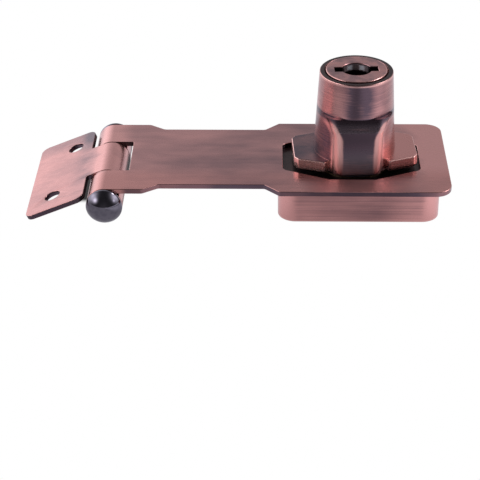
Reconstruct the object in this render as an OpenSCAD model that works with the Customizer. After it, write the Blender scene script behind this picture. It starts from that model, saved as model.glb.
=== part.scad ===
// Keyed hasp lock: a slotted strap on a pinned hinge leaf, closing over a
// turning knob with a key plug, on a cast base. Units: mm.
// Frame: origin on the mounting plane under the knob's axis, +X to the
// strap's free end, -X to the hinge, +Z out of the mounting plane.

/* [Strap and leaf] */
// Thickness of the strap and of the leaf
plate_t = 1.3; // [1.2:0.05:1.4]
// Half width of the strap's lock end
strap_half_w = 19; // [18.4:0.1:20]
// Corner radius of the strap's free end
strap_corner_r = 4.2; // [2:0.2:5]
// Half width of the strap's narrow middle
neck_half_w = 15.3; // [13:0.1:16]
// Length of the leaf from the top of the barrel
leaf_len = 20.05; // [18:0.05:22]
// Radius of the leaf's screw holes
leaf_hole_r = 2.1; // [1.6:0.05:2.4]
// How far the leaf hangs below the strap's plane, degrees
leaf_tilt = 22.6; // [0:0.2:22.6]

/* [Hinge] */
// Outer radius of the rolled barrel
barrel_r = 4.6; // [4.4:0.05:4.65]
// Height of the pin's domed heads
dome_h = 2.9; // [1.5:0.1:3.6]

/* [Lock base] */
// Corner radius of the base
base_corner_r = 4.5; // [3:0.1:5]
// Radius of the base's screw holes
base_hole_r = 2.1; // [1.7:0.05:2.3]

/* [Knob] */
// Radius of the knob at its top
turret_top_r = 9.3; // [9.2:0.05:9.6]
// Half length of the knob's wings
wing_half_len = 15.8; // [14.5:0.1:16]
// Half width of the front and back grips
lobe_half_w = 6.35; // [5.5:0.05:6.6]
// How far the unlocked knob stands turned from square, degrees
knob_rest = 3; // [0:0.5:4]

/* [Key plug] */
// Length of the key slot
key_slot_len = 11; // [9.5:0.1:11.2]
// Width of the key slot
key_slot_w = 2; // [1.8:0.05:2.4]
// Radius of the round mouth in the middle of the key slot
key_mouth_r = 3.7; // [3.4:0.05:4]
// Width of the key slot where it meets the plug's face
face_slot_w = 2.6; // [2.4:0.05:3]

/* [Hidden] */
$fn = 64;
e = 0.01;

// heights of the stack on the mounting plane
base_h = 7.95;
strap_z0 = base_h + 0.05;
strap_z1 = strap_z0 + plate_t;
axis_x = -63.4;
axis_z = strap_z1 - barrel_r;
roll_r = barrel_r - plate_t;          // inside radius of the roll
barrel_half = 18;                     // half length of the barrel
tongue_half = 7.65;                   // leaf's knuckle
window_half = 7.85;                   // strap's knuckles start here

// base
base_x0 = -19.6;
base_x1 = 21.2;
base_half_w = 17.85;
wall = 1.8;
screw_dx = 15.6;
screw_dy = 13;

// knob
knob_z0 = 9.55;                       // underside of the wings
wing_z1 = 12.45;
lobe_z1 = 24.6;
knob_z1 = 33.9;
stem_r = 8;
cavity_r = 7;
plug_r = 6.3;
plug_z0 = 14.1;
head_r = 7.75;
face_z = 34.2;                        // plug's face, a little proud
mouth_z0 = 29.8;                      // floor of the mouth
wafer_z = [24.9, 22.9, 20.9, 18.9, 16.9];
wafer_t = 1;

// bolt and cam
bolt_half_w = 3.5;
pin_r0 = 3.3;                         // bolt pin's distance from the axis
bolt_travel = 2;                      // for a quarter turn of the plug

copper = [0.72, 0.5, 0.47];
dark = [0.33, 0.27, 0.29];
brass = [0.72, 0.62, 0.38];
steel = [0.62, 0.63, 0.65];

// ---------- flat shapes ----------

module round_rect(x0, x1, y0, y1, r) {
    translate([x0 + r, y0]) square([x1 - x0 - 2 * r, y1 - y0]);
    translate([x0, y0 + r]) square([x1 - x0, y1 - y0 - 2 * r]);
    for (x = [x0 + r, x1 - r], y = [y0 + r, y1 - r])
        translate([x, y]) circle(r);
}

// the strap from above, barrel tangent line to free end
module strap_outline() {
    w = strap_half_w; n = neck_half_w; r = strap_corner_r;
    polygon([[axis_x, -barrel_half], [-53.8, -barrel_half], [-49.9, -n],
        [-19.3 - (w - n), -n], [-19.3, -w], [24 - r, -w], [24 - r, w],
        [-19.3, w], [-19.3 - (w - n), n], [-49.9, n],
        [-53.8, barrel_half], [axis_x, barrel_half]]);
    translate([24 - r - e, r - w]) square([r + e, 2 * (w - r)]);
    for (s = [-1, 1]) translate([24 - r, s * (w - r)]) circle(r);
}

// the hexagonal slot that passes over the knob
module slot_outline() {
    polygon([[-18.4, -6.3], [-17.7, -7.3], [-6.6, -12.3], [5.2, -12.3],
        [16.3, -7.3], [16.85, -6.3], [16.85, 6.3], [16.3, 7.3], [5.2, 12.3],
        [-6.6, 12.3], [-17.7, 7.3], [-18.4, 6.3]]);
}

// side view of a rolled edge: flat strip along +X, tangent to the roll's top
module roll_profile(len) {
    difference() {
        union() {
            difference() { circle(barrel_r); circle(roll_r); }
            translate([0, roll_r]) square([len, plate_t]);
        }
        polygon([[0, 0], [10 * cos(35), 10 * sin(35)], [10, roll_r], [0, roll_r]]);
    }
}

// a roll_profile stood up along Y from y0 to y1 at the hinge axis
module knuckle(y0, y1, len, flip = 1) {
    translate([0, y1, 0]) rotate([90, 0, 0]) linear_extrude(y1 - y0)
        scale([flip, 1]) roll_profile(len);
}

module wing_outline() {
    l = wing_half_len;
    polygon([[l, -5.15], [l, 5.15], [l - 0.9, 6.5], [8.3, 8.8], [5.8, 6.3],
        [-5.8, 6.3], [-8.3, 8.8], [0.9 - l, 6.5], [-l, 5.15], [-l, -5.15],
        [0.9 - l, -6.5], [-8.3, -8.8], [-5.8, -6.3], [5.8, -6.3],
        [8.3, -8.8], [l - 0.9, -6.5]]);
}

// spiral slot of the cam, constant lead, as a band around the pin's path
function spiral_r(a) = pin_r0 + bolt_travel * a / 90;
function spiral_side(d) = [for (a = [0 : 4.5 : 90])
    (spiral_r(a) + d) * [cos(-90 - a), sin(-90 - a)]];
module spiral_slot(half_w) {
    in_side = spiral_side(-half_w);
    out_side = spiral_side(half_w);
    n = len(in_side);
    polygon(concat(in_side, [for (i = [n - 1 : -1 : 0]) out_side[i]]));
    for (a = [0, 90]) translate(spiral_r(a) * [cos(-90 - a), sin(-90 - a)])
        circle(half_w);
}

// the knob and all that turns or stops with it
module turned() rotate([0, 0, knob_rest]) children();

// ---------- base ----------

module lock_base() color(dark) difference() {
    union() {
        difference() {
            linear_extrude(base_h) round_rect(base_x0, base_x1,
                -base_half_w, base_half_w, base_corner_r);
            translate([0, 0, -1]) linear_extrude(base_h - wall + 1)
                round_rect(base_x0 + wall, base_x1 - wall,
                    wall - base_half_w, base_half_w - wall,
                    base_corner_r - wall);
        }
        translate([0, 0, 2.4]) cylinder(r = 13.4, h = base_h - 2.4 - 1);
        for (x = [-screw_dx, screw_dx], y = [-screw_dy, screw_dy])
            translate([x, y, 0]) cylinder(r = 3.9, h = base_h - 1);
    }
    // seat of the keeper ring, then the stem's bore
    translate([0, 0, 1]) cylinder(r = 11.94, h = 5.15);
    translate([0, 0, 1]) cylinder(r = stem_r + 0.07, h = 10);
    for (x = [-screw_dx, screw_dx], y = [-screw_dy, screw_dy])
        translate([x, y, 0]) {
            translate([0, 0, -1]) cylinder(r = base_hole_r, h = 12);
            translate([0, 0, base_h - 1.7])
                cylinder(r1 = base_hole_r, r2 = base_hole_r + 1.7, h = 1.7);
            translate([0, 0, base_h - e]) cylinder(r = base_hole_r + 1.7, h = 1);
        }
    // where the stop pin crosses the ring's seat
    rotate([0, 0, 150 + knob_rest]) translate([11, 0, 4.7]) rotate([0, 90, 0])
        cylinder(r = 0.8, h = 1.6);
}

module keeper_ring() color(steel) turned() difference() {
    translate([0, 0, 3.25]) cylinder(r = 11.9, h = 2.85);
    translate([0, 0, 3]) cylinder(r = stem_r + 0.12, h = 4);
    for (a = [-90, 0]) rotate([0, 0, a])
        translate([0, -bolt_half_w - 0.15, 3])
            cube([10.3, 2 * bolt_half_w + 0.3, 4]);
    rotate([0, 0, 150]) translate([6, 0, 4.7]) rotate([0, 90, 0])
        cylinder(r = 0.78, h = 8);
}

module stop_pin() color(steel) turned()
    rotate([0, 0, 150]) translate([7.35, 0, 4.7]) rotate([0, 90, 0])
        cylinder(r = 0.74, h = 5.1);

module thrust_washer() color(brass) difference() {
    translate([0, 0, base_h]) cylinder(r = 9.4, h = 0.35);
    translate([0, 0, base_h - 1]) cylinder(r = stem_r + 0.1, h = 3);
}

// ---------- knob ----------

module knob() color(copper) turned() difference() {
    union() {
        difference() {
            translate([0, 0, 21.3]) cylinder(r1 = turret_top_r + 0.65,
                r2 = turret_top_r, h = knob_z1 - 21.3);
            for (s = [0, 180]) rotate([0, 0, s]) lobe_face();
        }
        difference() {
            translate([0, 0, knob_z0]) cylinder(r1 = turret_top_r + 1.4,
                r2 = turret_top_r + 0.65, h = 21.3 - knob_z0);
            for (s = [0, 180]) rotate([0, 0, s]) lobe_face();
        }
        translate([0, 0, knob_z0]) linear_extrude(wing_z1 - knob_z0)
            wing_outline();
        for (s = [0, 180]) rotate([0, 0, s]) lobe();
        translate([0, 0, 8.35]) cylinder(r = 9.4, h = 2);
        translate([0, 0, 1.95]) cylinder(r = stem_r, h = 8);
    }
    // plug head's seat and plug bore
    translate([0, 0, 32.25]) cylinder(r = head_r + 0.07, h = 3);
    translate([0, 0, 14]) cylinder(r = plug_r + 0.06, h = 20);
    // grooves that take the wafers, a quarter turn apart
    intersection() {
        translate([0, 0, 15.7]) cylinder(r = 7.4, h = 10.4);
        union() for (a = [0, 90]) rotate([0, 0, a])
            translate([-9, -2.4, 15]) cube([18, 4.8, 12]);
    }
    // web, cam chamber and bolt channel
    translate([0, 0, 10]) cylinder(r = 2.56, h = 6);
    translate([0, 0, 5.9]) cylinder(r = cavity_r, h = 6.6);
    translate([-bolt_half_w - 0.05, -9, 3.2])
        cube([2 * bolt_half_w + 0.1, 13.8, 2.8]);
    translate([0, 0, 1]) cylinder(r = 6.55, h = 2.3);
    // groove of the retaining ring
    difference() {
        translate([0, 0, 2.1]) cylinder(r = 9, h = 0.9);
        translate([0, 0, 2]) cylinder(r = 7.3, h = 1.1);
    }
    // quarter-turn groove of the stop pin
    intersection() {
        difference() {
            translate([0, 0, 3.85]) cylinder(r = 9, h = 1.7);
            translate([0, 0, 3]) cylinder(r = 7.2, h = 4);
        }
        translate([0, 0, 3]) linear_extrude(4) polygon([[0, 0],
            for (a = [53 : 13 : 157]) 12 * [cos(a), sin(a)]]);
    }
}

// front grip: a rounded bar, flaring to the turret's width at its top, where
// its face slopes back under the turret
module lobe() difference() {
    union() {
        translate([0, 0, knob_z0]) linear_extrude(lobe_z1 - knob_z0)
            round_rect(-lobe_half_w, lobe_half_w, -10.6, 0, 2.4);
        difference() {
            intersection() {
                translate([0, 0, 18.9]) cylinder(r = 10, h = lobe_z1 - 18.9);
                translate([-9, -11, 18]) cube([18, 9, 8]);
            }
            for (s = [-1, 1]) translate([s * (lobe_half_w + 7.86), 0, 18.9])
                rotate([90, 0, 0]) cylinder(r = 7.86, h = 12);
        }
    }
    lobe_face();
}

// what lies before the sloping top of a grip's face
module lobe_face() translate([0, -10.6, 21.4]) rotate([90, 0, 90])
    translate([0, 0, -9]) linear_extrude(18)
        polygon([[0, 0], [1.25, lobe_z1 - 21.4], [-4, lobe_z1 - 21.4], [-4, 0]]);

module stem_cap() color(steel) turned()
    translate([0, 0, 2]) cylinder(r = 6.5, h = 1.25);

module retaining_ring() color(steel) turned() difference() {
    translate([0, 0, 2.15]) cylinder(r = 9.6, h = 0.8);
    translate([0, 0, 2]) cylinder(r = 7.36, h = 1.2);
    rotate([0, 0, 200]) translate([0, -1.6, 2]) cube([12, 3.2, 1.2]);
}

// ---------- key plug ----------

module key_plug() color(copper) turned() difference() {
    union() {
        translate([0, 0, 32.3]) cylinder(r = head_r, h = face_z - 32.3);
        translate([0, 0, plug_z0]) cylinder(r = plug_r, h = 32.3 - plug_z0);
        translate([0, 0, 8.35]) cylinder(r = 2.5, h = plug_z0 - 8.35 + 1);
        translate([-1.6, -1.6, 6.8]) cube([3.2, 3.2, 2]);
    }
    translate([-key_slot_len / 2, -key_slot_w / 2, 15.4])
        cube([key_slot_len, key_slot_w, 20]);
    translate([0, 0, mouth_z0]) cylinder(r = key_mouth_r, h = 6);
    translate([-key_slot_len / 2, -face_slot_w / 2, mouth_z0])
        cube([key_slot_len, face_slot_w, 6]);
    for (i = [0 : 4]) translate([0, 0, wafer_z[i]]) {
        translate([-9, -2.3, -wafer_t / 2 - 0.05])
            cube([18, 4.6, wafer_t + 0.1]);
        mirror([i % 2, 0, 0]) translate([-2.9, 2.2, -0.75])
            cube([5.95, 1.75, 1.5]);
    }
    difference() {
        translate([0, 0, 11.6]) cylinder(r = 3, h = 0.8);
        translate([0, 0, 11]) cylinder(r = 1.9, h = 2);
    }
    translate([0, 0, 6]) cylinder(r = 1.25, h = 4.6);
}

// a slotted plate with an ear for its spring, cut to the plug's round
module wafer(i) color(brass) turned() translate([0, 0, wafer_z[i]])
    mirror([i % 2, 0, 0]) difference() {
        union() {
            intersection() {
                translate([0, 0, -wafer_t / 2]) cylinder(r = plug_r - 0.03, h = wafer_t);
                translate([-8, -2.25, -2]) cube([16, 4.5, 4]);
            }
            translate([1.2, 2, -wafer_t / 2]) cube([0.8, 1.7, wafer_t]);
        }
        translate([-4.2, -1.35, -2]) cube([8.4, 2.7, 4]);
    }
module wafer_1() wafer(0);
module wafer_2() wafer(1);
module wafer_3() wafer(2);
module wafer_4() wafer(3);
module wafer_5() wafer(4);

// coil spring along X: wire swept round a helix
module coil(x0, x1, r, wire_r, turns) {
    steps = turns * 12;
    sides = 6;
    pts = [for (k = [0 : steps]) let (a = 360 * k / 12,
        x = x0 + wire_r + (x1 - x0 - 2 * wire_r) * k / steps)
        for (j = [0 : sides - 1]) let (b = 360 * j / sides)
            [x + wire_r * sin(b), (r + wire_r * cos(b)) * cos(a),
                (r + wire_r * cos(b)) * sin(a)]];
    polyhedron(pts, concat(
        [[for (j = [0 : sides - 1]) j]],
        [for (k = [0 : steps - 1], j = [0 : sides - 1])
            [k * sides + j, (k + 1) * sides + j, (k + 1) * sides + (j + 1) % sides]],
        [for (k = [0 : steps - 1], j = [0 : sides - 1])
            [k * sides + j, (k + 1) * sides + (j + 1) % sides, k * sides + (j + 1) % sides]],
        [[for (j = [sides - 1 : -1 : 0]) steps * sides + j]]), convexity = 8);
}
module wafer_spring(i) color(steel) turned() translate([0, 3.07, wafer_z[i]])
    mirror([i % 2, 0, 0]) coil(-2.87, 1.17, 0.48, 0.12, 6);
module wafer_spring_1() wafer_spring(0);
module wafer_spring_2() wafer_spring(1);
module wafer_spring_3() wafer_spring(2);
module wafer_spring_4() wafer_spring(3);
module wafer_spring_5() wafer_spring(4);

module plug_clip() color(steel) turned() difference() {
    translate([0, 0, 11.65]) cylinder(r = 4.4, h = 0.7);
    translate([0, 0, 11]) cylinder(r = 1.96, h = 2);
    translate([0, -1.5, 11]) cube([6, 3, 2]);
}

module drive_cam() color(steel) turned() difference() {
    translate([0, 0, 6.75]) cylinder(r = cavity_r - 0.12, h = 1.5);
    translate([-1.63, -1.63, 6]) cube([3.26, 3.26, 3]);
    translate([0, 0, 6]) linear_extrude(3) spiral_slot(0.97);
}

module cam_screw() color(steel) turned() difference() {
    union() {
        translate([0, 0, 5.98]) cylinder(r = 2.2, h = 0.72);
        translate([0, 0, 6.5]) cylinder(r = 1.2, h = 3.7);
    }
    translate([-3, -0.3, 5.9]) cube([6, 0.6, 0.4]);
}

module locking_bolt() color(steel) turned() union() {
    difference() {
        translate([-bolt_half_w, -9, 3.4]) cube([2 * bolt_half_w, 13.6, 2.3]);
        difference() {
            translate([-6, -12, 3]) cube([12, 8, 3]);
            translate([0, 0, 2]) cylinder(r = stem_r - 0.08, h = 5);
        }
    }
    translate([0, -pin_r0, 5]) cylinder(r = 0.9, h = 3.1);
}

// ---------- strap, pin and leaf ----------

module hasp_strap() color(copper) difference() {
    union() {
        translate([0, 0, strap_z0]) linear_extrude(plate_t) strap_outline();
        translate([axis_x, 0, axis_z]) {
            knuckle(-barrel_half, -window_half, 5.6);
            knuckle(window_half, barrel_half, 5.6);
        }
    }
    translate([0, 0, strap_z0 - 1]) linear_extrude(plate_t + 2) slot_outline();
    translate([axis_x - 1, -window_half, strap_z0 - 1])
        cube([6.7, 2 * window_half, plate_t + 2]);
}

// half of a domed head, flat side at y = 0, dome towards -Y
module dome_head() {
    rr = (barrel_r * barrel_r + dome_h * dome_h) / (2 * dome_h);
    rotate([90, 0, 0]) cylinder(r = barrel_r, h = 0.7);
    intersection() {
        translate([0, rr - dome_h - 0.7, 0]) sphere(rr);
        translate([-6, -6, -6]) cube([12, 5.31, 12]);
    }
}

module hinge_pin() color(dark) translate([axis_x, 0, axis_z]) union() {
    translate([0, -barrel_half - 0.1, 0]) dome_head();
    translate([0, barrel_half + 0.1, 0]) rotate([90, 0, 0])
        cylinder(r = roll_r - 0.08, h = 2 * barrel_half + 0.5);
    translate([0, barrel_half + 1.9, 0]) rotate([90, 0, 0])
        cylinder(r = 2, h = 3);
}

module pin_cap() color(dark) translate([axis_x, 0, axis_z]) difference() {
    translate([0, barrel_half + 0.12, 0]) mirror([0, 1, 0]) dome_head();
    translate([0, barrel_half + 2, 0]) rotate([90, 0, 0])
        cylinder(r = 2.03, h = 3);
}

module hinge_leaf() color(copper) translate([axis_x, 0, axis_z])
    rotate([0, -leaf_tilt, 0]) difference() {
        union() {
            knuckle(-tongue_half, tongue_half, 8, -1);
            translate([0, 0, roll_r]) linear_extrude(plate_t)
                round_rect(-leaf_len, -3.96, -18.5, 18.5, 2.2);
        }
        for (h = [[-9.1, 11.65], [-13.2, -11.65]]) translate([h[0], h[1], 0])
            cylinder(r = leaf_hole_r, h = 8);
    }

lock_base();
keeper_ring();
stop_pin();
thrust_washer();
knob();
stem_cap();
retaining_ring();
key_plug();
plug_clip();
drive_cam();
cam_screw();
locking_bolt();
wafer_1();
wafer_2();
wafer_3();
wafer_4();
wafer_5();
wafer_spring_1();
wafer_spring_2();
wafer_spring_3();
wafer_spring_4();
wafer_spring_5();
hasp_strap();
hinge_pin();
pin_cap();
hinge_leaf();
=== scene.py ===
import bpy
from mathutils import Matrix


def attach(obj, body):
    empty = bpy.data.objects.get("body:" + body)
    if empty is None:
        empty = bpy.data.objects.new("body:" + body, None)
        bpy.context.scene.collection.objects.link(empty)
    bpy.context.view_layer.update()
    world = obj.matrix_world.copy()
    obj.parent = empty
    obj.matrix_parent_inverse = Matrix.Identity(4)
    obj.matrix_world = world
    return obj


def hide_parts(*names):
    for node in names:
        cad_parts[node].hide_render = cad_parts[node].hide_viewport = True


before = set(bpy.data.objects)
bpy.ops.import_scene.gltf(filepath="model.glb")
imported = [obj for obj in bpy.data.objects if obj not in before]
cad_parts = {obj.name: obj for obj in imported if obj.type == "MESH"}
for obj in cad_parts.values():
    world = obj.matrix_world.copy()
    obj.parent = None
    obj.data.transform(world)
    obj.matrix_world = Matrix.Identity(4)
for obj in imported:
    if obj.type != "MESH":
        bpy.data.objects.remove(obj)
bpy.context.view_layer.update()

import math

import bmesh
import bpy
from mathutils import Matrix, Vector

# Shapes are made in millimetres and brought to metres by finish_piece().
AX, AZ, BR, T = -63.4, 4.7, 4.6, 1.3           # hinge axis, barrel radius, plate
RM = BR - T / 2                                # middle of the rolled plate
ROLL = math.radians(305) * RM                  # length of plate in a roll
Z0, Z1 = 8.0, 9.3                              # strap
TILT = math.radians(22.6)
REST = math.radians(3.0)                       # the knob stands turned
scene = bpy.context.scene
coll = scene.collection


# ---------------------------------------------------------------- meshes

def evaluated_mesh(ob):
    dg = bpy.context.evaluated_depsgraph_get()
    dg.update()
    return bpy.data.meshes.new_from_object(ob.evaluated_get(dg))


def new_object(name, me):
    ob = bpy.data.objects.new(name, me)
    coll.objects.link(ob)
    return ob


def drop(ob):
    data = ob.data
    bpy.data.objects.remove(ob)
    if isinstance(data, bpy.types.Mesh) and not data.users:
        bpy.data.meshes.remove(data)


def from_bm(bm, name):
    me = bpy.data.meshes.new(name)
    bmesh.ops.recalc_face_normals(bm, faces=bm.faces)
    bm.to_mesh(me)
    bm.free()
    return new_object(name, me)


def arc(cx, cy, r, a0, a1, n):
    return [(cx + r * math.cos(math.radians(a0 + (a1 - a0) * k / n)),
             cy + r * math.sin(math.radians(a0 + (a1 - a0) * k / n))) for k in range(n + 1)]


def circle(cx, cy, r, n=96):
    return arc(cx, cy, r, 0, 360 - 360 / n, n - 1)


def rounded(corners, n=10):
    """closed outline from (x, y, radius) corners"""
    out = []
    m = len(corners)
    for i in range(m):
        p0, p, p1 = (Vector(corners[j % m][:2]) for j in (i - 1, i, i + 1))
        r = corners[i][2]
        if r <= 0:
            out.append(tuple(p))
            continue
        a, b = (p0 - p).normalized(), (p1 - p).normalized()
        half = math.acos(max(-1, min(1, a.dot(b)))) / 2
        c = p + (a + b).normalized() * (r / math.sin(half))
        s, e = p + a * (r / math.tan(half)) - c, p + b * (r / math.tan(half)) - c
        t0, t1 = math.atan2(s.y, s.x), math.atan2(e.y, e.x)
        d = (t1 - t0 + math.pi) % (2 * math.pi) - math.pi
        k = max(2, int(n * abs(d) / (math.pi / 2) + 0.5))
        out += [(c.x + r * math.cos(t0 + d * j / k), c.y + r * math.sin(t0 + d * j / k)) for j in range(k + 1)]
    return out


def box_outline(x0, x1, y0, y1, r, n=14):
    return rounded([(x0, y0, r), (x1, y0, r), (x1, y1, r), (x0, y1, r)], n)


def plate(name, outlines, z0, z1, bevel, seg=2):
    """a flat plate with holes and softly rounded edges"""
    cu = bpy.data.curves.new(name, "CURVE")
    cu.dimensions, cu.fill_mode = "2D", "BOTH"
    cu.extrude = (z1 - z0) / 2 - bevel
    cu.bevel_depth, cu.bevel_resolution, cu.offset = bevel, seg, -bevel
    for pts in outlines:
        sp = cu.splines.new("POLY")
        sp.points.add(len(pts) - 1)
        for q, p in zip(sp.points, pts):
            q.co = (p[0], p[1], 0, 1)
        sp.use_cyclic_u = True
    ob = new_object(name, cu)
    me = evaluated_mesh(ob)
    bpy.data.objects.remove(ob)
    bm = bmesh.new()
    bm.from_mesh(me)
    bpy.data.meshes.remove(me)
    bmesh.ops.translate(bm, vec=(0, 0, (z0 + z1) / 2), verts=bm.verts)
    bmesh.ops.remove_doubles(bm, verts=bm.verts, dist=0.002)
    return from_bm(bm, name)


def prism(name, outline, z0, z1):
    bm = bmesh.new()
    lo = [bm.verts.new((x, y, z0)) for x, y in outline]
    hi = [bm.verts.new((x, y, z1)) for x, y in outline]
    n = len(outline)
    for i in range(n):
        bm.faces.new((lo[i], lo[(i + 1) % n], hi[(i + 1) % n], hi[i]))
    bm.faces.new(lo[::-1])
    bm.faces.new(hi)
    return from_bm(bm, name)


def loft(name, rings):
    """closed solid through rings of equal point count"""
    bm = bmesh.new()
    vs = [[bm.verts.new(p) for p in ring] for ring in rings]
    n = len(rings[0])
    for a, b in zip(vs, vs[1:]):
        for i in range(n):
            bm.faces.new((a[i], a[(i + 1) % n], b[(i + 1) % n], b[i]))
    bm.faces.new(vs[0][::-1])
    bm.faces.new(vs[-1])
    return from_bm(bm, name)


def lathe(name, profile, n=160, closed=False):
    """(r, z) profile turned about Z; r = 0 is one point"""
    bm = bmesh.new()
    rings = []
    for r, z in profile:
        if r < 1e-6:
            rings.append([bm.verts.new((0, 0, z))])
        else:
            rings.append([bm.verts.new((r * math.cos(2 * math.pi * k / n), r * math.sin(2 * math.pi * k / n), z))
                          for k in range(n)])
    pairs = list(zip(rings, rings[1:])) + ([(rings[-1], rings[0])] if closed else [])
    for a, b in pairs:
        for k in range(n):
            q = [a[k % len(a)], a[(k + 1) % len(a)], b[(k + 1) % len(b)], b[k % len(b)]]
            q = [v for i, v in enumerate(q) if v not in q[:i]]
            if len(q) > 2:
                bm.faces.new(q)
    return from_bm(bm, name)


def cylinder(name, r, z0, z1, x=0.0, y=0.0, n=96):
    ob = lathe(name, [(0, z0), (r, z0), (r, z1), (0, z1)], n)
    ob.data.transform(Matrix.Translation((x, y, 0)))
    return ob


def block(name, x0, x1, y0, y1, z0, z1):
    return prism(name, [(x0, y0), (x1, y0), (x1, y1), (x0, y1)], z0, z1)


def joined(obs, name):
    bm = bmesh.new()
    for ob in obs:
        bm.from_mesh(ob.data)
        drop(ob)
    return from_bm(bm, name)


def boolean(a, b, op):
    m = a.modifiers.new("cut", "BOOLEAN")
    m.object, m.operation, m.solver = b, op, "EXACT"
    me = evaluated_mesh(a)
    a.modifiers.clear()
    old, a.data = a.data, me
    bpy.data.meshes.remove(old)
    drop(b)
    return a


def smooth(me, deg):
    bm = bmesh.new()
    bm.from_mesh(me)
    limit = math.radians(deg)
    for f in bm.faces:
        f.smooth = True
    for e in bm.edges:
        e.smooth = len(e.link_faces) == 2 and e.calc_face_angle(3.2) < limit
    bm.to_mesh(me)
    bm.free()


def finish_piece(ob, name, body, nodes, mat, deg=38):
    bm = bmesh.new()
    bm.from_mesh(ob.data)
    bmesh.ops.remove_doubles(bm, verts=bm.verts, dist=0.0005)
    bmesh.ops.dissolve_degenerate(bm, edges=bm.edges, dist=0.0002)
    bm.to_mesh(ob.data)
    bm.free()
    ob.data.transform(Matrix.Scale(0.001, 4))
    smooth(ob.data, deg)
    m = ob.modifiers.new("flat faces", "WEIGHTED_NORMAL")
    m.keep_sharp, m.weight = True, 80
    ob.name = name
    ob.data.name = name
    ob.data.materials.clear()
    ob.data.materials.append(mat)
    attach(ob, body)
    if nodes:
        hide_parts(*nodes)
    return ob


# ---------------------------------------------------------------- materials

class Nodes:
    def __init__(self, name, world=False):
        if world:
            self.owner = bpy.data.worlds.new(name)
        else:
            self.owner = bpy.data.materials.new(name)
        self.owner.use_nodes = True
        self.t = self.owner.node_tree
        self.t.nodes.clear()

    def new(self, kind, **props):
        node = self.t.nodes.new(kind)
        for k, v in props.items():
            setattr(node, k, v)
        return node

    def put(self, node, socket, value):
        if isinstance(value, bpy.types.NodeSocket):
            self.t.links.new(value, node.inputs[socket])
        elif value is not None:
            node.inputs[socket].default_value = value

    def math(self, op, a, b=None, c=None, clamp=False):
        node = self.new("ShaderNodeMath", operation=op, use_clamp=clamp)
        for i, v in enumerate((a, b, c)):
            if v is not None:
                self.put(node, i, v)
        return node.outputs[0]

    def vec(self, op, a, b=None):
        node = self.new("ShaderNodeVectorMath", operation=op)
        self.put(node, 0, a)
        if b is not None:
            self.put(node, 1, b)
        return node.outputs["Value" if op == "DOT_PRODUCT" else "Vector"]

    def ramp(self, x, lo, hi, a=0.0, b=1.0, smooth=True):
        node = self.new("ShaderNodeMapRange", interpolation_type="SMOOTHSTEP" if smooth else "LINEAR")
        for s, v in zip(("Value", "From Min", "From Max", "To Min", "To Max"), (x, lo, hi, a, b)):
            self.put(node, s, v)
        return node.outputs[0]

    def mix(self, f, a, b):
        node = self.new("ShaderNodeMix", data_type="RGBA")
        self.put(node, 0, f)
        self.put(node, 6, a)
        self.put(node, 7, b)
        return node.outputs[2]

    def noise(self, vector, scale, detail=3.0, rough=0.55, distortion=0.0):
        node = self.new("ShaderNodeTexNoise")
        for s, v in (("Vector", vector), ("Scale", scale), ("Detail", detail), ("Roughness", rough),
                     ("Distortion", distortion)):
            self.put(node, s, v)
        return node.outputs["Fac"]

    def combine(self, x, y, z):
        node = self.new("ShaderNodeCombineXYZ")
        for i, v in enumerate((x, y, z)):
            self.put(node, i, v)
        return node.outputs[0]

    def mm(self):
        """object coordinates in millimetres, as a vector and as x, y, z"""
        tc = self.new("ShaderNodeTexCoord")
        v = self.new("ShaderNodeVectorMath", operation="SCALE")
        self.put(v, 0, tc.outputs["Object"])
        v.inputs["Scale"].default_value = 1000
        sep = self.new("ShaderNodeSeparateXYZ")
        self.put(sep, 0, v.outputs[0])
        return v.outputs[0], *sep.outputs[:3]

    def normal(self):
        g = self.new("ShaderNodeNewGeometry")
        sep = self.new("ShaderNodeSeparateXYZ")
        tr = self.new("ShaderNodeVectorTransform", vector_type="NORMAL", convert_from="WORLD", convert_to="OBJECT")
        self.put(tr, 0, g.outputs["Normal"])
        self.put(sep, 0, tr.outputs[0])
        return sep.outputs[:3]

    def band(self, x, a, b, c, d):
        """rises from a to b, falls from c to d"""
        return self.math("MULTIPLY", self.ramp(x, a, b), self.ramp(x, d, c))

    def mul(self, *f):
        out = f[0]
        for g in f[1:]:
            out = self.math("MULTIPLY", out, g)
        return out

    def add(self, *f):
        out = f[0]
        for g in f[1:]:
            out = self.math("ADD", out, g)
        return out

    def metal(self, colour, rough, metallic=1.0, bump=None, bump_mm=0.01, coat=0.0, coat_rough=0.1, specular=0.5):
        b = self.new("ShaderNodeBsdfPrincipled")
        self.put(b, "Base Color", colour)
        self.put(b, "Metallic", metallic)
        self.put(b, "Roughness", rough)
        b.inputs["Coat Weight"].default_value = coat
        b.inputs["Coat Roughness"].default_value = coat_rough
        b.inputs["Specular IOR Level"].default_value = specular
        if bump is not None:
            n = self.new("ShaderNodeBump")
            n.inputs["Strength"].default_value = 1.0
            n.inputs["Distance"].default_value = bump_mm * 0.001
            self.put(n, "Height", bump)
            self.put(b, "Normal", n.outputs[0])
        out = self.new("ShaderNodeOutputMaterial")
        self.t.links.new(b.outputs[0], out.inputs[0])
        return self.owner


# PINK colours painted highlights, BLACK painted shade and the truly dark parts, SILVER painted glints; RUST colours
# rust and painted reflection
COPPER = (0.67, 0.330, 0.312, 1)
PINK = (0.90, 0.56, 0.51, 1)
RUST = (0.36, 0.110, 0.090, 1)
PATINA = (0.102, 0.066, 0.088, 1)
BLACK = (0.012, 0.010, 0.012, 1)
SILVER = (0.80, 0.80, 0.86, 1)


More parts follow.
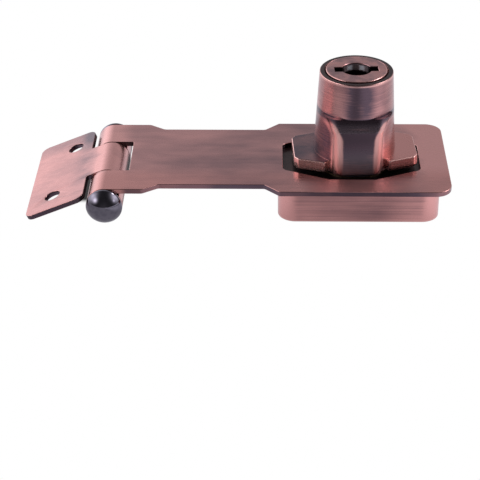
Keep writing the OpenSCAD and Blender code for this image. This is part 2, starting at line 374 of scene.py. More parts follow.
def copper(name, brush, patina=0.25, rough=0.30, streak=0.35, bump=0.006, look=None, coat=0.25):
    """antique copper: brushed lines along `brush`, patina in cloudy patches.
    look() gives by place: patina to add, which also carries painted shade and painted light; rust and painted
    reflection; painted highlights; and painted shade, which goes to black along with the parts that are truly dark."""
    m = Nodes(name)
    v, x, y, z = m.mm()
    if brush == "around":
        a = m.math("ARCTAN2", y, x)
        lines = m.combine(m.math("MULTIPLY", a, 2.2), m.math("MULTIPLY", z, 6.0), m.math("MULTIPLY", a, 0.9))
        lines = m.vec("ADD", lines, m.combine(0.0, m.math("MULTIPLY", m.noise(v, 0.12, 1), 9.0), 0.0))
    else:
        lines = m.vec("MULTIPLY", v, brush)
    fine = m.noise(lines, 1.0, 4, 0.6)
    broad = m.noise(lines, 0.35, 2, 0.5)
    cloud = m.noise(v if brush == "around" else m.vec("MULTIPLY", v, (0.45, 1, 1)), 0.11, 3, 0.55)
    speck = m.noise(v, 2.6, 3, 0.7)
    n = m.normal()
    add, rust_and_reflection, painted_highlight, shade_and_black, *rest = look(m, x, y, z, n, cloud)
    rougher = rest[0] if rest else 0.0
    metallic = m.math("SUBTRACT", 1.0, rest[1]) if len(rest) > 1 else 1.0
    # patina from clouds and brushing, plus what look() adds by place: real patina, painted shade and painted light
    pat = m.add(m.math("MULTIPLY_ADD", cloud, 1.1, patina - 0.55),
                m.math("MULTIPLY_ADD", broad, streak * 1.4, -0.7 * streak),
                m.math("MULTIPLY_ADD", fine, streak, -0.5 * streak), add)
    # painted highlights take patina off and lift the colour towards pink
    pat = m.math("SUBTRACT", pat, m.math("MULTIPLY", painted_highlight, 0.8), clamp=True)
    # rust, and painted reflection of the red strap, towards the rust colour
    red = m.mix(rust_and_reflection, COPPER, RUST)
    col = m.mix(m.ramp(pat, 0.0, 1.0, smooth=False), red, PATINA)
    col = m.mix(m.math("MULTIPLY", painted_highlight, 0.8), col, PINK)
    # painted shade, and the truly dark parts, towards black
    col = m.mix(shade_and_black, col, BLACK)
    # painted glints, and the greyer foot of the grips, towards silver
    if len(rest) > 2:
        col = m.mix(rest[2], col, SILVER)
    r = m.add(m.math("MULTIPLY_ADD", fine, 0.20, rough - 0.10), m.math("MULTIPLY_ADD", speck, 0.08, -0.04),
              m.math("MULTIPLY", shade_and_black, 0.2), rougher)
    height = m.add(m.math("MULTIPLY", fine, 0.8), m.math("MULTIPLY", speck, 0.3))
    return m.metal(col, r, metallic, bump=height, bump_mm=bump, coat=coat, coat_rough=0.16)


def strap_look(m, x, y, z, n, cloud):
    flat = m.ramp(x, -59.5, -57.5)
    # painted shade: the plate's edges, facing sideways, made darker
    side = m.mul(m.ramp(m.math("ABSOLUTE", n[2]), 0.55, 0.25), flat)
    # painted highlight: a thin light line along the upper rounding of the top edges
    line = m.mul(m.band(n[2], 0.35, 0.6, 0.85, 0.96), m.ramp(z, 8.9, 9.1), flat, 0.30)
    # darker along the middle of the neck, lighter at the free end and the back edge
    mid = m.mul(m.ramp(m.math("ABSOLUTE", m.math("ADD", y, 1.0)), 13.0, 3.0), m.band(x, -54, -44, -20, 6))
    end = m.ramp(x, 12.0, 20.0)
    back = m.ramp(y, 9.0, 17.0)
    # painted reflection of the knob: in front of it the strap is darker, redder and rougher
    before = m.mul(m.ramp(y, -9.0, -13.0), m.band(x, -15, -9, 10, 17))
    front = m.mul(m.ramp(y, -4.0, -12.0), 0.30)
    add = m.add(m.math("MULTIPLY", mid, 0.18), m.math("MULTIPLY", end, m.ramp(y, -14.0, -4.0, -0.20, -0.55)), m.mul(back, m.ramp(x, -15.0, 5.0, 0.10, -0.28)),
                m.math("MULTIPLY", side, 0.65), m.math("MULTIPLY", before, 0.10), m.math("MULTIPLY", front, -0.5), m.math("MULTIPLY", m.ramp(x, -57.0, -63.0), -0.50), m.mul(m.ramp(x, -28.0, -46.0), -0.12))
    rust_and_reflection = m.math("MAXIMUM", m.math("MULTIPLY", before, 0.30), front)
    # painted shade, towards black: the plate's undersides, the lower front of the rolled barrel and the far wall of
    # the window
    under = m.ramp(n[2], -0.3, -0.7)
    roll = m.mul(m.ramp(x, -62.0, -63.4), m.ramp(n[2], 0.45, -0.05), m.ramp(m.math("ABSOLUTE", n[1]), 0.7, 0.4))
    far = m.mul(m.ramp(n[1], -0.4, -0.7), m.ramp(x, -57.0, -57.6), m.band(y, 6.0, 7.0, 9.0, 10.0), 0.90)
    painted_gap_shade = m.math("MAXIMUM", far, m.mul(roll, m.ramp(y, 0.0, -4.0), 0.93))
    return add, rust_and_reflection, line, m.math("MAXIMUM", m.mul(under, flat, 0.3), painted_gap_shade), m.mul(before, 0.30)


def leaf_look(m, x, y, z, n, cloud):
    st, ct = math.sin(TILT), math.cos(TILT)
    up = m.add(m.math("MULTIPLY", n[0], -st), m.math("MULTIPLY", n[2], ct))
    flat = m.ramp(x, -67.0, -68.0)
    # painted shade: the plate's edges, facing sideways, made darker
    side = m.mul(m.ramp(m.math("ABSOLUTE", up), 0.55, 0.25), flat)
    # painted highlight: a thin light line along the upper rounding of the edges
    line = m.mul(m.band(up, 0.35, 0.6, 0.85, 0.96), flat, 0.4)
    near = m.mul(m.ramp(x, -73.0, -69.0), m.ramp(cloud, 0.4, 0.6))
    # painted shade, towards black and rougher: the plate's end facing the barrel, and the knuckle's side facing +X
    # under the window
    painted_gap_shade = m.mul(m.ramp(m.math("ABSOLUTE", up), 0.55, 0.25), m.ramp(n[0], 0.3, 0.7), m.ramp(x, -71.0, -69.5), m.ramp(x, -66.5, -67.5))
    painted_gap_shade = m.math("MAXIMUM", painted_gap_shade, m.mul(m.ramp(x, -61.2, -59.8), m.ramp(n[2], 0.5, 0.2)))
    return m.add(m.math("MULTIPLY", side, 0.95), m.math("MULTIPLY", near, 0.28),
                 m.mul(m.ramp(x, -75.0, -69.0), m.ramp(x, -66.0, -68.5), 0.30), m.mul(m.ramp(x, -67.5, -65.0), -0.36), m.mul(m.ramp(y, 10.0, 16.0), 0.30)), \
        m.mul(m.ramp(x, -66.0, -76.0), 0.22), line, m.mul(painted_gap_shade, 0.88), m.mul(painted_gap_shade, 0.45)


def base_look(m, x, y, z, n, cloud):
    # sides: darker between the corners, lighter on the rounded corners and towards the right
    ax = m.math("ABSOLUTE", m.math("SUBTRACT", x, 0.8))
    ay = m.math("ABSOLUTE", y)
    corner = m.mul(m.ramp(ax, 14.8, 18.6), m.ramp(ay, 12.0, 16.2), m.ramp(m.math("ABSOLUTE", n[2]), 0.6, 0.3))
    # painted highlight along the foot of the sides
    low = m.mul(m.ramp(z, 0.8, 0.2), m.ramp(n[2], -0.9, -0.6), 0.35)
    add = m.add(m.math("MULTIPLY", corner, -0.60), m.ramp(x, 4.0, 15.0, 0.0, -0.26))
    # painted shade, towards black: the top face under the strap and the inner walls of the hollow
    inner = m.mul(m.ramp(ax, 18.3, 18.1), m.ramp(ay, 15.9, 15.7))
    shade_and_black = m.math("MAXIMUM", m.ramp(z, 7.7, 7.9), inner)
    return add, 0.0, low, m.mul(shade_and_black, 0.93)


def knob_look(m, x, y, z, n, cloud):
    c, s_ = math.cos(REST), math.sin(REST)
    u = m.math("ABSOLUTE", m.add(m.math("MULTIPLY", x, c), m.math("MULTIPLY", y, s_)))
    w = m.math("ABSOLUTE", m.add(m.math("MULTIPLY", y, c), m.math("MULTIPLY", x, -s_)))
    turret = m.ramp(z, 24.3, 24.9)
    low = m.mul(m.ramp(z, 24.9, 24.3), m.ramp(z, 12.3, 12.6))
    upright = m.ramp(m.math("ABSOLUTE", n[2]), 0.75, 0.55)
    grow = m.ramp(z, 18.9, 24.6, 0.0, 2.2)
    # painted shade: the grips' front faces darker, with a dark band across their upper part; the faces are also
    # greyer towards their foot
    face = m.mul(m.ramp(m.math("SUBTRACT", u, grow), 4.6, 3.6), m.ramp(w, 8.6, 9.2), m.ramp(z, 24.9, 24.3))
    # painted highlights on the rounded upright corners of the grips: lighter, pinker and rougher
    strip = m.mul(m.band(m.math("SUBTRACT", u, grow), 3.5, 4.7, 6.2, 6.8), m.ramp(w, 7.6, 8.4),
                  m.ramp(z, 24.4, 22.0), m.ramp(z, 9.6, 12.5))
    # painted reflection of the strap: the lower body beside the grips red-brown, darker on the left
    arch = m.mul(low, m.ramp(m.math("SUBTRACT", u, grow), 6.4, 7.2), m.ramp(z, 23.8, 21.0))
    # painted shade: the middle of the turret, front and back, made darker
    mid = m.mul(turret, m.ramp(u, 5.5, 1.5), upright)
    shade = m.mul(m.band(z, 22.4, 23.9, 24.7, 24.9), m.ramp(m.math("SUBTRACT", u, grow), 3.0, 5.0, 0.5, 1.0))
    wing = m.mul(m.ramp(z, 12.6, 12.4), m.ramp(u, 6.6, 7.4))
    # painted light by side: wing tops darker on the left and lighter on the right; wing walls lighter, pinker and
    # redder on the left, darker on the right
    top = m.mul(wing, m.ramp(n[2], 0.85, 0.97))
    wall = m.mul(wing, upright)
    right = m.ramp(x, -2.0, 2.0)
    # painted highlights: light lines along the wing top edges and the turret's top rim
    line = m.mul(wing, m.band(n[2], 0.3, 0.5, 0.85, 0.96), 0.85)
    ringline = m.mul(m.band(z, 33.1, 33.45, 33.75, 33.88), 0.45)
    # patina added by place, all painted light and shade: grip faces and turret middle darker, corner strips lighter,
    # shade under the turret, the turret darker on its right, the strap's reflection on the left arches, wing tops and
    # walls lighter or darker by side
    add = m.add(m.mul(face, m.ramp(z, 11.0, 19.0, 0.60, 1.0), m.ramp(z, 21.0, 22.6, 1.0, 0.80)), m.mul(strip, -0.9), m.mul(mid, 0.75), m.mul(shade, 0.85),
                m.mul(turret, m.ramp(x, 3.0, 7.0), 0.22), m.mul(arch, m.ramp(x, 2.0, -2.0), 0.60),
                m.mul(top, m.ramp(x, -7.0, 7.0, 0.38, -0.55)), m.mul(wall, right, 0.35), m.mul(wall, -0.25))
    # painted reflection: redder on the arches, the left wing wall and the turret's left side
    rust_and_reflection = m.math("MAXIMUM", m.mul(arch, 0.6), m.mul(wall, m.math("SUBTRACT", 1.0, right), 0.25))
    rust_and_reflection = m.math("MAXIMUM", rust_and_reflection, m.mul(turret, m.ramp(x, -3.0, -7.5), 0.15))
    # painted highlights: wing edges, turret rim, corner strips and the left wing walls
    painted_highlight = m.math("MAXIMUM", m.math("MAXIMUM", line, ringline), m.math("MAXIMUM", m.mul(strip, m.ramp(x, -4.0, 4.0, 0.85, 0.48)), m.mul(wall, m.ramp(x, -2.0, 2.0, 1.0, 0.30))))
    # the dark ring on top, the knob's own colour
    cap = m.mul(m.ramp(n[2], 0.6, 0.95), m.ramp(z, 33.5, 33.8))
    # painted shade, towards black: the knob below its wings, down in the slot
    under = m.ramp(z, 9.7, 9.5)
    return add, rust_and_reflection, painted_highlight, m.math("MAXIMUM", m.mul(m.math("MAXIMUM", cap, under), 0.93), m.mul(face, m.band(z, 17.0, 19.5, 21.3, 21.5), 0.26)), \
        m.add(m.mul(strip, 0.16), m.mul(face, m.ramp(z, 17.0, 11.0), 0.16)), \
        m.add(m.mul(face, m.band(z, 21.3, 21.5, 22.2, 24.0), 0.26), m.mul(wall, m.ramp(x, 2.0, -2.0), 0.14)), \
        m.math("MAXIMUM", m.mul(face, m.ramp(z, 18.0, 11.0), 0.15), m.mul(face, m.band(z, 21.3, 21.5, 23.0, 24.6), 0.05))


def plug_look(m, x, y, z, n, cloud):
    r = m.math("SQRT", m.add(m.math("MULTIPLY", x, x), m.math("MULTIPLY", y, y)))
    # painted highlight: a thin light ring at the face's outer edge
    rim = m.mul(m.band(r, 7.42, 7.56, 7.70, 7.78), m.ramp(z, 33.9, 34.05), 0.40)
    # painted shade, towards black: inside the key mouth and on the side below the face
    inside = m.mul(m.ramp(z, 34.12, 34.0), m.ramp(r, 6.6, 6.2))
    side = m.mul(m.ramp(z, 34.0, 33.9), m.ramp(r, 7.0, 7.4))
    # the far wall of the mouth is painted lighter and grey, as if lit, with two painted glints
    far = m.mul(m.ramp(y, 1.6, 2.6), m.band(z, 31.9, 32.5, 33.85, 34.05), inside)
    painted_glints = m.mul(m.band(m.math("ABSOLUTE", x), 0.45, 1.2, 1.7, 2.6), m.band(z, 31.9, 32.6, 33.4, 33.9), far)
    shade_and_black = m.math("MULTIPLY", m.math("MAXIMUM", inside, side), m.add(0.97, m.math("MULTIPLY", far, -0.22),
                                                                   m.math("MULTIPLY", painted_glints, -0.70)))
    blot = m.noise(m.combine(x, y, 0.0), 0.24, 2)
    patch = m.ramp(blot, 0.38, 0.62, 0.24, -0.20)
    return patch, m.mul(m.ramp(blot, 0.50, 0.62), 0.25), rim, shade_and_black, \
        m.mul(far, 0.2), m.math("MAXIMUM", painted_glints, m.mul(far, 0.7)), m.math("MAXIMUM", painted_glints, m.mul(far, 0.12))


def simple_metal(name, light, dark, rough, scale=1.4, bump=0.004, lines=(1, 1, 1)):
    m = Nodes(name)
    v, x, y, z = m.mm()
    a = m.noise(m.vec("MULTIPLY", v, lines), scale, 4, 0.6)
    b = m.noise(v, 0.3, 2)
    col = m.mix(m.ramp(m.math("ADD", a, m.math("SUBTRACT", b, 0.5)), 0.3, 0.75), light, dark)
    r = m.math("MULTIPLY_ADD", a, 0.25, rough - 0.12)
    return m.metal(col, r, bump=a, bump_mm=bump)


mat_strap = copper("copper_strap", (0.08, 1.6, 1.6), 0.42, 0.25, 0.12, 0.0025, strap_look)
mat_leaf = copper("copper_leaf", (0.08, 1.6, 1.6), 0.17, 0.30, 0.10, 0.003, leaf_look)
mat_base = copper("copper_base", (0.05, 0.8, 4.0), 0.36, 0.30, 0.62, 0.008, base_look)
mat_knob = copper("copper_knob", "around", 0.26, 0.27, 0.40, 0.0035, knob_look)
mat_plug = copper("copper_plug", (0.4, 0.9, 0.9), 0.40, 0.26, 0.20, 0.003, plug_look)

m = Nodes("black_nickel")
v, x, y, z = m.mm()
pits = m.noise(v, 1.1, 3)
mat_dome = m.metal(m.mix(m.ramp(pits, 0.35, 0.7), (0.19, 0.177, 0.215, 1), (0.15, 0.14, 0.175, 1)),
                   m.math("MULTIPLY_ADD", pits, 0.04, 0.02), bump=m.noise(v, 3.0, 2), bump_mm=0.0008)
mat_steel = simple_metal("zinc_steel", (0.62, 0.63, 0.65, 1), (0.42, 0.43, 0.45, 1), 0.34)
mat_aged = simple_metal("aged_brass", (0.20, 0.14, 0.09, 1), (0.10, 0.07, 0.05, 1), 0.45)
mat_brass = simple_metal("brass", (0.74, 0.58, 0.30, 1), (0.52, 0.38, 0.19, 1), 0.32, lines=(0.2, 3, 3))


# ---------------------------------------------------------------- rolled plates

def roll_up(ob, place):
    """bends what lies at u < 0 about the hinge, then sets it in place"""
    bm = bmesh.new()
    bm.from_mesh(ob.data)
    u = 0.0
    while u > -ROLL:
        bmesh.ops.bisect_plane(bm, geom=bm.verts[:] + bm.edges[:] + bm.faces[:], plane_co=(u, 0, 0),
                               plane_no=(1, 0, 0), dist=1e-5)
        u -= 0.24
    for vert in bm.verts:
        cu, cy, cz = vert.co
        if cu < 0:
            phi, r = -cu / RM, cz
            cu, cz = -r * math.sin(phi), r * math.cos(phi)
        vert.co = place(cu, cy, cz)
    me = ob.data
    bmesh.ops.recalc_face_normals(bm, faces=bm.faces)
    bm.to_mesh(me)
    bm.free()
    return ob


W, TAB = 7.85, -ROLL
outer = rounded([(24 - AX, -19, 4.2), (24 - AX, 19, 4.2), (-19.3 - AX, 19, 0.8), (-23.0 - AX, 15.3, 1.2),
                 (-49.9 - AX, 15.3, 1.6), (-53.8 - AX, 18, 1.6), (TAB, 18, 0.25), (TAB, W, 0.25),
                 (-57.7 - AX, W, 0.35), (-57.7 - AX, -W, 0.35), (TAB, -W, 0.25), (TAB, -18, 0.25),
                 (-53.8 - AX, -18, 1.6), (-49.9 - AX, -15.3, 1.6), (-23.0 - AX, -15.3, 1.2),
                 (-19.3 - AX, -19, 0.8)], 14)
half = [(-18.4, -6.3, 0.4), (-17.7, -7.3, 0.4), (-6.6, -12.3, 0.7), (5.2, -12.3, 0.7), (16.3, -7.3, 0.4),
        (16.85, -6.3, 0.4)]
slot = rounded([(px - AX, py, r) for px, py, r in half] + [(px - AX, -py, r) for px, py, r in half[::-1]], 12)
strap = plate("strap", [outer, slot], BR - T, BR, 0.14)
roll_up(strap, lambda u, y, h: (AX + u, y, AZ + h))
finish_piece(strap, "strap_sheet", "strap", ["hasp_strap"], mat_strap)

K = 7.65
outer = rounded([(20.05, -18.5, 2.2), (20.05, 18.5, 2.2), (3.96, 18.5, 2.2), (3.96, K, 0.3), (TAB, K, 0.25),
                 (TAB, -K, 0.25), (3.96, -K, 0.3), (3.96, -18.5, 2.2)], 14)
leaf = plate("leaf", [outer, circle(9.1, 11.65, 2.1), circle(13.2, -11.65, 2.1)], BR - T, BR, 0.14)
ct, st = math.cos(TILT), math.sin(TILT)
roll_up(leaf, lambda u, y, h: (AX - ct * u - st * h, y, AZ - st * u + ct * h))
finish_piece(leaf, "leaf_sheet", "leaf", ["hinge_leaf"], mat_leaf)


# ---------------------------------------------------------------- pin and cap

DOME, RIM = 2.88, 0.7
RR = (BR * BR + DOME * DOME) / (2 * DOME)


def dome_profile(y0):
    """head from its flat side at y0 outwards, edge eased"""
    pts = [(BR - 0.22, y0), (BR - 0.07, y0 + 0.07), (BR, y0 + 0.22), (BR, y0 + RIM)]
    a1 = math.asin(BR / RR)
    for k in range(1, 29):
        a = a1 * (1 - k / 28)
        pts.append((RR * math.sin(a), y0 + RIM + DOME - RR + RR * math.cos(a)))
    pts[-1] = (0, pts[-1][1])
    return pts


pin = lathe("pin", [(0, -19.9), (1.85, -19.9), (2.0, -19.75), (2.0, -18.0), (3.22, -18.0), (3.22, 18.1)]
            + dome_profile(18.1), 128)
pin.data.transform(Matrix.Translation((AX, 0, AZ)) @ Matrix.Rotation(math.radians(90), 4, "X"))
finish_piece(pin, "pin_with_head", "strap", ["hinge_pin"], mat_dome, 45)
cap = lathe("cap", [(0, 20.0), (2.03, 20.0), (2.03, 18.12)] + dome_profile(18.12), 128)
cap.data.transform(Matrix.Translation((AX, 0, AZ)) @ Matrix.Rotation(math.radians(-90), 4, "X"))
finish_piece(cap, "pin_end_cap", "strap", ["pin_cap"], mat_dome, 45)


# ---------------------------------------------------------------- base

BX0, BX1, BW, BH, WALL = -19.6, 21.2, 17.85, 7.95, 1.8
posts = [(sx * 15.6, sy * 13) for sx in (-1, 1) for sy in (-1, 1)]
base = plate("base", [box_outline(BX0, BX1, -BW, BW, 4.5)], 0, BH, 0.35, 3)
hollow = prism("hollow", box_outline(BX0 + WALL, BX1 - WALL, WALL - BW, BW - WALL, 2.7, 10), -1, BH - WALL)
hollow = boolean(hollow, joined([cylinder("c", 13.4, 2.4, 7.2)] + [cylinder("c", 3.9, -2, 7.2, px, py, 64)
                                                                   for px, py in posts], "kept"), "DIFFERENCE")
base = boolean(base, hollow, "DIFFERENCE")
sink = [(0, -1), (2.1, -1), (2.1, 6.25), (3.8, 7.95), (3.8, 8.6), (0, 8.6)]
cuts = [lathe("c", [(0, 1), (11.94, 1), (11.94, 6.15), (8.07, 6.15), (8.07, 9), (0, 9)])]
for px, py in posts:
    c = lathe("c", sink, 64)
    c.data.transform(Matrix.Translation((px, py, 0)))
    cuts.append(c)
base = boolean(base, joined(cuts, "cuts"), "DIFFERENCE")
finish_piece(base, "base_casting", "base", ["lock_base"], mat_base)


# ---------------------------------------------------------------- knob

def turned(ob):
    ob.data.transform(Matrix.Rotation(REST, 4, "Z"))
    return ob


TOP = 33.9
edge_r = 0.3
top_edge = [(9.3 - edge_r + edge_r * math.cos(math.radians(a)), TOP - edge_r + edge_r * math.sin(math.radians(a)))
            for a in range(0, 91, 15)]
profile = [(0, 1.95), (7.85, 1.95), (8, 2.1), (7.3, 2.1), (7.3, 3.0), (8, 3.0), (8, 8.35),
           (9.4, 8.35), (9.4, 9.6), (10.7, 9.6), (10.35, 15.2), (9.95, 21.3), (9.80, 24.6)] + top_edge + \
          [(0, TOP)]
knob = lathe("knob", profile, 192)
l, r0 = 15.8, 0.5
wing = rounded([(l, -5.15, r0), (l, 5.15, r0), (l - 0.9, 6.5, r0), (8.3, 8.8, 0.6), (5.8, 6.3, 0.2), (-5.8, 6.3, 0.2),
                (-8.3, 8.8, 0.6), (0.9 - l, 6.5, r0), (-l, 5.15, r0), (-l, -5.15, r0), (0.9 - l, -6.5, r0),
                (-8.3, -8.8, 0.6), (-5.8, -6.3, 0.2), (5.8, -6.3, 0.2), (8.3, -8.8, 0.6), (l - 0.9, -6.5, r0)], 8)
wings = plate("wings", [wing], 9.55, 12.45, 0.28, 3)


def lobe_ring(z, inset=0.0):
    """section of a grip: flares towards its top, face sloping back there"""
    f = max(0.0, z - 18.9)
    w = 6.35 + 7.86 - math.sqrt(7.86 ** 2 - f * f) - inset
    y0 = -10.78 + (z - 9.55) * 0.0135 + inset if z < 21.4 else -10.62 + (z - 21.4) * 1.25 / 3.2
    r = 2.4 + 1.9 * (f / 5.7) ** 2 - inset
    flat = [(w, -5.0)] + arc(w - r, y0 + r, r, 0, -90, 12) + arc(-w + r, y0 + r, r, 270, 180, 12) + [(-w, -5.0)]
    return [(px, py, z) for px, py in flat[::-1]]


def face_cut():
    """what lies before the sloping top of a grip's face"""
    sect = [(-10.62, 21.4), (-9.37, 24.6), (-14.0, 24.6), (-14.0, 21.4)]
    return loft("cut", [[(px, py, pz) for py, pz in sect] for px in (-9.0, 9.0)])


rings = [lobe_ring(9.58, 0.2), lobe_ring(9.64, 0.06)] + [
    lobe_ring(z) for z in (9.8, 12.7, 16, 18.9, 19.6, 20.3, 20.9, 21.4, 22, 22.6, 23.2, 23.8, 24.3, 24.6)]
for sx in (0, math.pi):
    c = face_cut()
    c.data.transform(Matrix.Rotation(sx, 4, "Z"))
    knob = boolean(knob, c, "DIFFERENCE")
front = loft("lobe", rings)
back = loft("lobe", rings)
back.data.transform(Matrix.Rotation(math.pi, 4, "Z"))
knob = boolean(boolean(knob, front, "UNION"), back, "UNION")
knob = boolean(knob, wings, "UNION")
inside = lathe("inside", [(0, 5.9), (7, 5.9), (7, 12.5), (2.56, 12.5), (2.56, 14), (6.36, 14), (6.36, 32.25),
                          (7.82, 32.25), (7.82, TOP - 0.45), (8.15, TOP + 0.01), (8.15, 35), (0, 35)])
knob = boolean(knob, inside, "DIFFERENCE")
knob = boolean(knob, cylinder("recess", 6.55, 1, 3.3), "DIFFERENCE")
grooves = prism("g", circle(0, 0, 7.4, 128), 15.7, 26.1)
cross = boolean(block("g", -9, 9, -2.4, 2.4, 15, 27), block("g", -2.4, 2.4, -9, 9, 15, 27), "UNION")
grooves = boolean(grooves, cross, "INTERSECT")
stop = prism("s", arc(0, 0, 9, 53, 157, 40) + arc(0, 0, 7.2, 157, 53, 40), 3.85, 5.55)
knob = boolean(knob, joined([grooves, block("b", -3.55, 3.55, -9, 4.8, 3.2, 6.0)], "cuts"), "DIFFERENCE")
knob = boolean(knob, stop, "DIFFERENCE")
turned(knob)
finish_piece(knob, "knob_casting", "knob", ["knob"], mat_knob, 33)


# ---------------------------------------------------------------- key plug

FACE, E1 = 34.2, 0.22
plug = lathe("plug", [(0, 10.6), (1.25, 10.6), (1.25, 8.35), (2.5, 8.35), (2.5, 11.6), (1.9, 11.6), (1.9, 12.4),
                      (2.5, 12.4), (2.5, 14.1), (6.3, 14.1), (6.3, 32.3), (7.75, 32.3)]
             + [(7.75 - E1 + E1 * math.cos(math.radians(a)), FACE - E1 + E1 * math.sin(math.radians(a)))
                for a in range(0, 91, 15)] + [(0, FACE)], 160)
square = block("sq", -1.6, 1.6, -1.6, 1.6, 6.8, 8.9)
square = boolean(square, cylinder("h", 1.25, 6, 10, n=48), "DIFFERENCE")
plug = boolean(plug, square, "UNION")


def keyhole(grow):
    h, e, r = 1.3 + grow, 5.5 + grow, 3.7 + grow
    a = math.degrees(math.asin(h / r))
    return [(e, -h), (e, h)] + arc(0, 0, r, a, 180 - a, 56) + [(-e, h), (-e, -h)] + arc(0, 0, r, 180 + a, 360 - a, 56)


mouth = loft("mouth", [[(px, py, zz) for px, py in keyhole(g)] for g, zz in
                       ((0, 29.8), (0, FACE - 0.2), (0.05, FACE - 0.09), (0.16, FACE), (0.16, FACE + 0.5))])
plug = boolean(plug, mouth, "DIFFERENCE")
plug = boolean(plug, block("k", -5.5, 5.5, -1, 1, 15.4, 31), "DIFFERENCE")
cuts = []
for i, zw in enumerate((24.9, 22.9, 20.9, 18.9, 16.9)):
    cuts.append(block("w", -9, 9, -2.3, 2.3, zw - 0.55, zw + 0.55))
plug = boolean(plug, joined(cuts, "cuts"), "DIFFERENCE")
cuts = []
for i, zw in enumerate((24.9, 22.9, 20.9, 18.9, 16.9)):
    cuts.append(block("w", *((-2.9, 3.05) if i % 2 == 0 else (-3.05, 2.9)), 2.2, 3.95, zw - 0.75, zw + 0.75))
plug = boolean(plug, joined(cuts, "cuts"), "DIFFERENCE")
turned(plug)
finish_piece(plug, "plug_with_face", "plug", ["key_plug"], mat_plug, 33)


# ---------------------------------------------------------------- the other CAD pieces

for node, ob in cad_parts.items():
    if node == "thrust_washer":
        mat = mat_aged
    elif node.startswith("wafer_") and "spring" not in node:
        mat = mat_brass
    elif node in ("lock_base", "knob", "key_plug", "hasp_strap", "hinge_leaf", "hinge_pin", "pin_cap"):
        continue
    else:
        mat = mat_steel
    ob.data.materials.clear()
    ob.data.materials.append(mat)


# ---------------------------------------------------------------- stage and light

def area(name, place, target, size, power, colour=(1, 1, 1)):
    li = bpy.data.lights.new(name, "AREA")
    li.shape, li.size, li.size_y, li.energy, li.color = "RECTANGLE", size[0], size[1], power, colour
    ob = bpy.data.objects.new(name, li)
    coll.objects.link(ob)
    ob.location = place
    ob.rotation_euler = (Vector(target) - Vector(place)).to_track_quat("-Z", "Y").to_euler()
    return ob


bm = bmesh.new()
bmesh.ops.create_grid(bm, x_segments=1, y_segments=1, size=4.0)
floor = from_bm(bm, "floor")
floor.location = (0, 1.0, -0.0002)
m = Nodes("floor_white")
ao = m.new("ShaderNodeAmbientOcclusion", samples=16)
ao.inputs["Distance"].default_value = 0.03
b = m.new("ShaderNodeEmission")
# painted shadow: the white floor is darkened only where the hinge shuts it in, in its narrow
# gaps; dark only where the hinge shuts it in, as in the photo's narrow gaps
v, x, y, z = m.mm()
hinge = m.mul(m.band(x, -77.0, -71.0, -62.5, -60.0), m.band(y, -1008.5, -1006.0, -996.0, -989.0), m.ramp(ao.outputs["AO"], 0.50, 0.22))
window = m.mul(m.band(x, -62.5, -61.0, -56.0, -54.0), m.band(y, -997.0, -994.0, -985.0, -981.0), m.ramp(ao.outputs["AO"], 0.62, 0.42), 0.80)
painted_gap_shade = m.math("MAXIMUM", hinge, window)
m.put(b, "Strength", m.math("MULTIPLY_ADD", painted_gap_shade, -0.95, 1.0))
out = m.new("ShaderNodeOutputMaterial")
m.t.links.new(b.outputs[0], out.inputs[0])
floor.data.materials.append(m.owner)
floor.visible_glossy = False

w = Nodes("studio", world=True)
tc = w.new("ShaderNodeTexCoord")
d = tc.outputs["Generated"]
sep = w.new("ShaderNodeSeparateXYZ")
w.put(sep, 0, d)


def glow(direction, power, strength):
    n = Vector(direction).normalized()
    dot = w.vec("DOT_PRODUCT", d, tuple(n))
    return w.math("MULTIPLY", w.math("POWER", w.math("MAXIMUM", dot, 0.0), power), strength)


total = 0.06
for direction, power, strength in (
        ((0.0, 0.86, 0.51), 6, 0.42),
        ((-0.45, 0.82, 0.33), 22, 0.75),
        ((-0.75, 0.60, 0.06), 9, 1.70),
        ((0.55, 0.80, 0.35), 20, 0.40),
        ((0.0, -1.0, 0.0), 10, 0.06),
        ((-0.76, -0.45, 0.45), 50, 3.6),
        ((0.86, -0.36, 0.38), 160, 2.2),
        ((-0.86, 0.0, 0.50), 14, 2.6),
        ((0.86, 0.0, 0.50), 14, 2.6)):
    total = w.math("ADD", glow(direction, power, strength), total)
bg = w.new("ShaderNodeBackground")
w.put(bg, "Color", w.mix(w.ramp(sep.outputs[2], 0.0, 0.9), (1.0, 0.975, 1.01, 1), (1, 0.98, 1.02, 1)))
w.put(bg, "Strength", total)
out = w.new("ShaderNodeOutputWorld")
w.t.links.new(bg.outputs[0], out.inputs[0])
scene.world = w.owner

area("soft_box", (0.57, 0.24, 0.70), (0, 0, 0.03), (0.34, 0.20), 2.5)

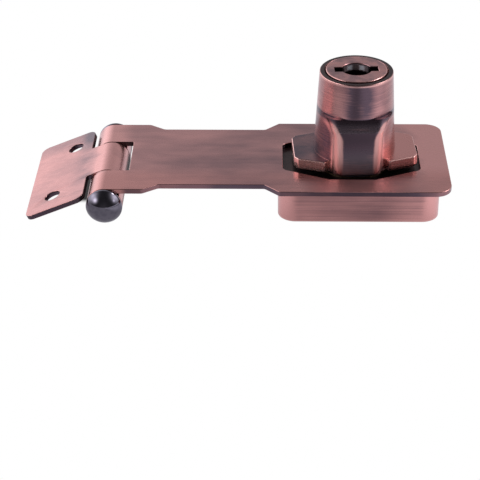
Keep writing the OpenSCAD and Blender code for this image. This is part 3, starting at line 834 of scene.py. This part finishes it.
# what stands for the floor in the metal's reflections: grey before the knob, lighter to its sides
bm = bmesh.new()
bmesh.ops.create_grid(bm, x_segments=1, y_segments=1, size=2.0)
card = from_bm(bm, "floor_reflected")
card.location = (0, 0, -0.0006)
m = Nodes("card_grey")
v, x, y, z = m.mm()
front = m.ramp(y, 2.0, -22.0)
far = m.ramp(y, -150.0, -330.0)
side = m.math("MAXIMUM", m.ramp(x, 6.0, 34.0, 0.0, 1.3), m.mul(m.band(x, -56.0, -44.0, -34.0, -10.0), 0.8))
level = m.math("MULTIPLY_ADD", side, 0.45, 0.50)
level = m.math("MULTIPLY", level, m.math("MULTIPLY_ADD", far, -0.75, 1.0))
level = m.add(m.math("MULTIPLY", front, level), m.math("MULTIPLY_ADD", front, -0.85, 0.85))
inner = m.mul(m.band(x, -76.0, -72.0, -56.5, -54.5), m.band(y, -10.0, -6.0, 24.0, 32.0))
level = m.math("MULTIPLY", level, m.math("MULTIPLY_ADD", inner, -0.75, 1.0))
e = m.new("ShaderNodeEmission")
e.inputs["Color"].default_value = (1.0, 0.98, 1.04, 1)
m.put(e, "Strength", level)
out = m.new("ShaderNodeOutputMaterial")
m.t.links.new(e.outputs[0], out.inputs[0])
card.data.materials.append(m.owner)
card.visible_camera = card.visible_diffuse = card.visible_shadow = card.visible_transmission = False

# ---------------------------------------------------------------- camera

pitch, yaw, roll = math.radians(30.838), math.radians(-1.223), math.radians(0.341)
fw = Vector((math.sin(yaw) * math.cos(pitch), math.cos(yaw) * math.cos(pitch), -math.sin(pitch)))
rt = Vector((math.cos(yaw), -math.sin(yaw), 0))
dn = fw.cross(rt)
right = rt * math.cos(roll) + dn * math.sin(roll)
down = -rt * math.sin(roll) + dn * math.cos(roll)
cam = bpy.data.objects.new("camera", bpy.data.cameras.new("camera"))
coll.objects.link(cam)
cam.data.sensor_width = 36
cam.data.lens = 1580.595 / 480 * 36
cam.data.clip_start = 0.01
rot = Matrix((right, -down, -fw)).transposed()
cam.matrix_world = Matrix.Translation((-0.021837, -0.363731, 0.201147)) @ rot.to_4x4()
scene.camera = cam
scene.view_settings.view_transform = "Standard"
scene.view_settings.look = "None"
